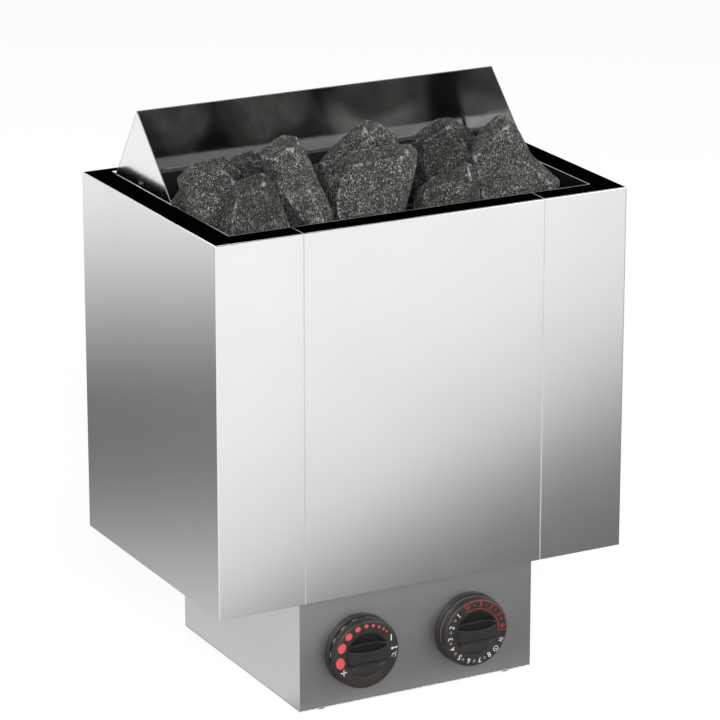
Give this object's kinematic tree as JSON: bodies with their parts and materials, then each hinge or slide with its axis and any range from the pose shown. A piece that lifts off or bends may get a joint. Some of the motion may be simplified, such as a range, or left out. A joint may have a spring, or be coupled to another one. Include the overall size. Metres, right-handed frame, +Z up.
{
  "type": "sauna heater",
  "caption": "Wall-hung electric sauna heater: steel casing with an open stone basket, a sloped deflector hood behind it, and a control box below with thermostat and timer dials.",
  "frame": {"origin": "middle of the bounding box at the underside of the screw heads below the control box", "axes": "+X to the right seen from the front, +Y to the wall, +Z up"},
  "size_m": [0.41, 0.2852, 0.5217],
  "materials": {
    "casing_steel": "satin stainless sheet",
    "hood_steel": "polished sheet",
    "galvanised_steel": "zinc coated sheet",
    "element_steel": "heat tinted tube",
    "black_plastic": "fine grained",
    "pale_plastic": "moulded",
    "red_plastic": "moulded",
    "copper": "drawn tube",
    "stone": "rough split rock"
  },
  "bodies": {
    "heater": {"left_side_panel": "casing_steel", "right_side_panel": "casing_steel", "front_panel": "casing_steel", "liner_left": "casing_steel", "liner_right": "casing_steel", "liner_front": "casing_steel", "liner_back": "casing_steel", "deflector_left_end": "casing_steel", "deflector_right_end": "casing_steel", "deflector_left_screw": "casing_steel", "deflector_right_screw": "casing_steel", "box_shell": "casing_steel", "box_back": "casing_steel", "box_bottom": "casing_steel", "box_screw_1": "casing_steel", "box_screw_2": "casing_steel", "box_screw_3": "casing_steel", "box_screw_4": "casing_steel", "deflector_hood": "hood_steel", "stone_grate": "hood_steel", "back_panel": "galvanised_steel", "wall_bracket": "galvanised_steel", "base_plate": "galvanised_steel", "heating_element_1": "element_steel", "heating_element_2": "element_steel", "heating_element_3": "element_steel", "thermostat_bezel": "black_plastic", "timer_bezel": "black_plastic", "cable_gland": "black_plastic", "timer_wires": "black_plastic", "thermostat_body": "pale_plastic", "timer_body": "pale_plastic", "cutout_body": "pale_plastic", "terminal_block": "pale_plastic", "thermostat_feeler": "copper", "stone_left": "stone", "stone_front_left": "stone", "stone_tall": "stone", "stone_behind_left": "stone", "stone_back_peak": "stone", "stone_front_middle": "stone", "stone_back_round": "stone", "stone_front_small": "stone", "stone_right": "stone", "stone_under_hood_left": "stone", "stone_under_hood_middle": "stone", "stone_under_hood_right": "stone", "stone_low_1": "stone", "stone_low_2": "stone", "stone_low_3": "stone", "stone_low_4": "stone", "stone_low_5": "stone", "stone_low_6": "stone"},
    "thermostat_dial": {"thermostat_knob": "black_plastic", "thermostat_shaft": "galvanised_steel"},
    "timer_dial": {"timer_knob": "black_plastic", "timer_shaft": "galvanised_steel"},
    "reset": {"reset_button": "red_plastic"}
  },
  "joints": [
    {"name": "thermostat_turn", "type": "hinge", "parent": "heater", "child": "thermostat_dial", "pos_m": [-0.06, -0.1186, 0.0531], "axis": [0, 1, 0], "range_deg": [0, 220]},
    {"name": "timer_turn", "type": "hinge", "parent": "heater", "child": "timer_dial", "pos_m": [0.0524, -0.1186, 0.0531], "axis": [0, 1, 0], "range_deg": [0, 295]},
    {"name": "reset_press", "type": "slide", "parent": "heater", "child": "reset", "axis": [0, 0, 1], "range_m": [0, 0.002], "stiffness_N_per_m": 400}
  ]
}
